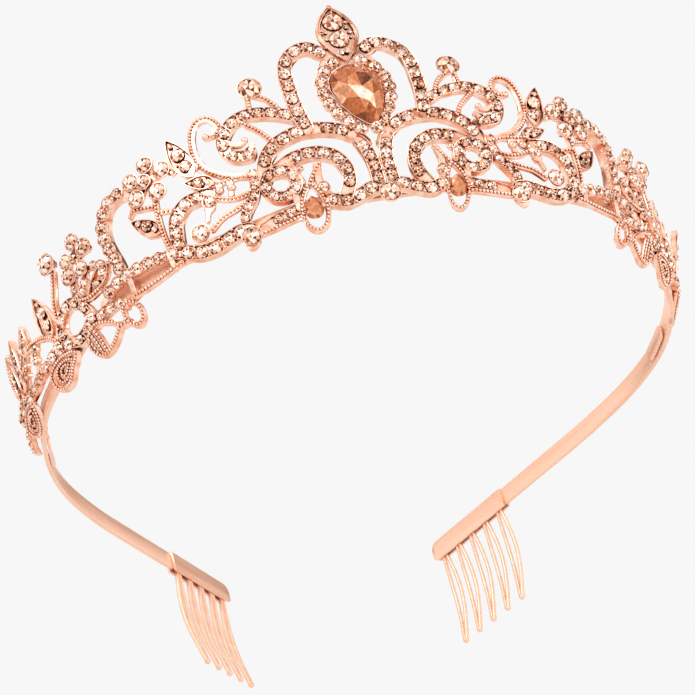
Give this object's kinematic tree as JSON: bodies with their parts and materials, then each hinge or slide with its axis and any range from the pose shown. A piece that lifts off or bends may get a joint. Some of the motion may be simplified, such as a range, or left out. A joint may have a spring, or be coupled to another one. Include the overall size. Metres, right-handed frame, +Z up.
{
  "type": "bridal tiara",
  "caption": "Rose-gold bridal tiara: a spring headband with filigree castings set with pale stones, a peach pear stone and a hair comb on each arm.",
  "frame": {"origin": "middle of the headband's U, level with the lower edge of its arms", "axes": "+Z up along the decoration, +Y from the front of the tiara towards the comb ends, +X to the wearer's left; left and right in node names are as seen from the front"},
  "size_m": [0.161, 0.1686, 0.086],
  "materials": {
    "rose_gold": "bright rose-gold plating on zinc alloy castings",
    "satin_rose_gold": "satin rose-gold plating on spring strip and wire",
    "pale_rhinestone": "foil-backed cut glass, pale champagne",
    "peach_crystal": "foil-backed cut glass, deep peach"
  },
  "bodies": {
    "root": {"bottom_stone": "pale_rhinestone", "centre_filigree": "rose_gold", "crest_leaf_cup": "rose_gold", "crest_stone_lower": "pale_rhinestone", "crest_stone_upper": "pale_rhinestone", "headband_strip": "satin_rose_gold", "left_border_stone": "pale_rhinestone", "left_comb_rail": "satin_rose_gold", "left_comb_tooth_1": "satin_rose_gold", "left_comb_tooth_2": "satin_rose_gold", "left_comb_tooth_3": "satin_rose_gold", "left_comb_tooth_4": "satin_rose_gold", "left_comb_tooth_5": "satin_rose_gold", "left_drop_stone": "peach_crystal", "left_end_spray": "rose_gold", "left_flower_spray": "rose_gold", "left_flower_stone_1": "pale_rhinestone", "left_flower_stone_2": "pale_rhinestone", "left_flower_stone_3": "pale_rhinestone", "left_flower_stone_4": "pale_rhinestone", "left_flower_stone_5": "pale_rhinestone", "left_flower_stone_6": "pale_rhinestone", "left_scroll_panel": "rose_gold", "left_scroll_stone": "pale_rhinestone", "left_side_spray": "rose_gold", "left_solder_tab": "satin_rose_gold", "left_spray_stone_1": "pale_rhinestone", "left_spray_stone_2": "pale_rhinestone", "left_spray_stone_3": "pale_rhinestone", "left_spray_stone_4": "pale_rhinestone", "left_spray_stone_5": "pale_rhinestone", "left_stalk_stone": "pale_rhinestone", "pear_stone": "peach_crystal", "right_border_stone": "pale_rhinestone", "right_comb_rail": "satin_rose_gold", "right_comb_tooth_1": "satin_rose_gold", "right_comb_tooth_2": "satin_rose_gold", "right_comb_tooth_3": "satin_rose_gold", "right_comb_tooth_4": "satin_rose_gold", "right_comb_tooth_5": "satin_rose_gold", "right_drop_stone": "peach_crystal", "right_end_spray": "rose_gold", "right_flower_spray": "rose_gold", "right_flower_stone_1": "pale_rhinestone", "right_flower_stone_2": "pale_rhinestone", "right_flower_stone_3": "pale_rhinestone", "right_flower_stone_4": "pale_rhinestone", "right_flower_stone_5": "pale_rhinestone", "right_flower_stone_6": "pale_rhinestone", "right_scroll_panel": "rose_gold", "right_scroll_stone": "pale_rhinestone", "right_side_spray": "rose_gold", "right_solder_tab": "satin_rose_gold", "right_spray_stone_1": "pale_rhinestone", "right_spray_stone_2": "pale_rhinestone", "right_spray_stone_3": "pale_rhinestone", "right_spray_stone_4": "pale_rhinestone", "right_spray_stone_5": "pale_rhinestone", "right_stalk_stone": "pale_rhinestone"}
  },
  "joints": []
}
